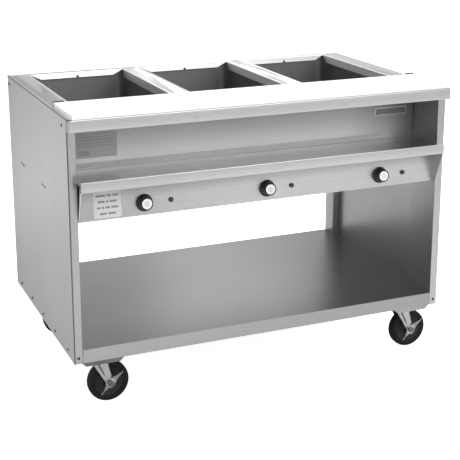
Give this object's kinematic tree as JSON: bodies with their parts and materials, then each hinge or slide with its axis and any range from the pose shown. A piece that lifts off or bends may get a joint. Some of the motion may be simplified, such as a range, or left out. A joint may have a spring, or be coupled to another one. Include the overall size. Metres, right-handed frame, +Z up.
{
  "type": "mobile electric steam table",
  "caption": "Stainless food-serving table with rectangular heated wells in the top, a full-length cutting board, an open compartment, heat controls, an undershelf and swivel casters.",
  "frame": {"origin": "on the floor, below the middle of the bounding box", "axes": "+X to the right along the operator's side, +Y from the operator's side to the serving side, +Z up"},
  "size_m": [1.2338, 0.7778, 0.9125],
  "materials": {
    "stainless": "satin brushed",
    "channel_steel": "dull galvanised",
    "liner_steel": "dull drawn steel",
    "element_sheath": "heat-darkened",
    "switch_body": "moulded",
    "knob_black": "gloss moulded",
    "pilot_lens": "dark translucent lens",
    "gland_plastic": "moulded",
    "board_white": "sanded polyethylene",
    "zinc": "zinc plated",
    "wheel_rubber": "moulded",
    "fastener_steel": "plain",
    "plate_aluminium": "satin"
  },
  "bodies": {
    "table": {"end_panel_left": "stainless", "end_panel_right": "stainless", "top_deck": "stainless", "rear_panel": "stainless", "compartment_back": "stainless", "ledge_shelf": "stainless", "control_panel": "stainless", "control_end_left": "stainless", "control_end_right": "stainless", "housing_bottom": "stainless", "well_liner_left": "liner_steel", "heating_element_left": "element_sheath", "well_liner_centre": "liner_steel", "heating_element_centre": "element_sheath", "well_liner_right": "liner_steel", "heating_element_right": "element_sheath", "infinite_switch_left": "switch_body", "pilot_light_left": "pilot_lens", "infinite_switch_centre": "switch_body", "pilot_light_centre": "pilot_lens", "infinite_switch_right": "switch_body", "pilot_light_right": "pilot_lens", "terminal_block": "switch_body", "cord_gland": "gland_plastic", "board_bracket_left": "stainless", "board_bracket_right": "stainless", "undershelf": "stainless", "caster_channel_left": "channel_steel", "caster_channel_right": "channel_steel", "caster_plate_front_left": "zinc", "caster_plate_front_right": "zinc", "caster_plate_rear_left": "zinc", "caster_plate_rear_right": "zinc", "caster_bolts": "zinc", "panel_screws": "fastener_steel", "panel_rivets": "fastener_steel", "well_screws": "fastener_steel", "name_plate": "plate_aluminium"},
    "knob_left": {"knob_left": "knob_black", "switch_shaft_left": "zinc"},
    "knob_centre": {"knob_centre": "knob_black", "switch_shaft_centre": "zinc"},
    "knob_right": {"knob_right": "knob_black", "switch_shaft_right": "zinc"},
    "cutting_board": {"cutting_board": "board_white"},
    "fork_front_left": {"caster_fork_front_left": "zinc", "caster_axle_front_left": "zinc"},
    "wheel_front_left": {"caster_wheel_front_left": "wheel_rubber"},
    "brake_front_left": {"brake_lever_front_left": "zinc"},
    "fork_front_right": {"caster_fork_front_right": "zinc", "caster_axle_front_right": "zinc"},
    "wheel_front_right": {"caster_wheel_front_right": "wheel_rubber"},
    "brake_front_right": {"brake_lever_front_right": "zinc"},
    "fork_rear_left": {"caster_fork_rear_left": "zinc", "caster_axle_rear_left": "zinc"},
    "wheel_rear_left": {"caster_wheel_rear_left": "wheel_rubber"},
    "fork_rear_right": {"caster_fork_rear_right": "zinc", "caster_axle_rear_right": "zinc"},
    "wheel_rear_right": {"caster_wheel_rear_right": "wheel_rubber"}
  },
  "joints": [
    {"name": "knob_left_turn", "type": "hinge", "parent": "table", "child": "knob_left", "pos_m": [-0.38894, -0.32855, 0.6287], "axis": [0, 0.9945, -0.1045], "range_deg": [0, 320]},
    {"name": "knob_centre_turn", "type": "hinge", "parent": "table", "child": "knob_centre", "pos_m": [-0.00159, -0.32855, 0.6287], "axis": [0, 0.9945, -0.1045], "range_deg": [0, 320]},
    {"name": "knob_right_turn", "type": "hinge", "parent": "table", "child": "knob_right", "pos_m": [0.38576, -0.32855, 0.6287], "axis": [0, 0.9945, -0.1045], "range_deg": [0, 320]},
    {"name": "cutting_board_lift", "type": "slide", "parent": "table", "child": "cutting_board", "axis": [0, 0, 1], "range_m": [0, 0.25]},
    {"name": "swivel_front_left", "type": "hinge", "parent": "table", "child": "fork_front_left", "pos_m": [-0.52737, -0.25368, 0.14676], "axis": [0, 0, 1], "continuous": true},
    {"name": "roll_front_left", "type": "hinge", "parent": "fork_front_left", "child": "wheel_front_left", "pos_m": [-0.49054, -0.25368, 0.0635], "axis": [0, 1, 0], "continuous": true},
    {"name": "brake_front_left_press", "type": "hinge", "parent": "fork_front_left", "child": "brake_front_left", "pos_m": [-0.49054, -0.28246, 0.0635], "axis": [0, -1, 0], "range_deg": [0, 24]},
    {"name": "swivel_front_right", "type": "hinge", "parent": "table", "child": "fork_front_right", "pos_m": [0.51657, -0.25368, 0.14676], "axis": [0, 0, 1], "continuous": true},
    {"name": "roll_front_right", "type": "hinge", "parent": "fork_front_right", "child": "wheel_front_right", "pos_m": [0.5534, -0.25368, 0.0635], "axis": [0, 1, 0], "continuous": true},
    {"name": "brake_front_right_press", "type": "hinge", "parent": "fork_front_right", "child": "brake_front_right", "pos_m": [0.5534, -0.28246, 0.0635], "axis": [0, -1, 0], "range_deg": [0, 24]},
    {"name": "swivel_rear_left", "type": "hinge", "parent": "table", "child": "fork_rear_left", "pos_m": [-0.52737, 0.29496, 0.14676], "axis": [0, 0, 1], "continuous": true},
    {"name": "roll_rear_left", "type": "hinge", "parent": "fork_rear_left", "child": "wheel_rear_left", "pos_m": [-0.49054, 0.29496, 0.0635], "axis": [0, 1, 0], "continuous": true},
    {"name": "swivel_rear_right", "type": "hinge", "parent": "table", "child": "fork_rear_right", "pos_m": [0.51657, 0.29496, 0.14676], "axis": [0, 0, 1], "continuous": true},
    {"name": "roll_rear_right", "type": "hinge", "parent": "fork_rear_right", "child": "wheel_rear_right", "pos_m": [0.5534, 0.29496, 0.0635], "axis": [0, 1, 0], "continuous": true}
  ]
}
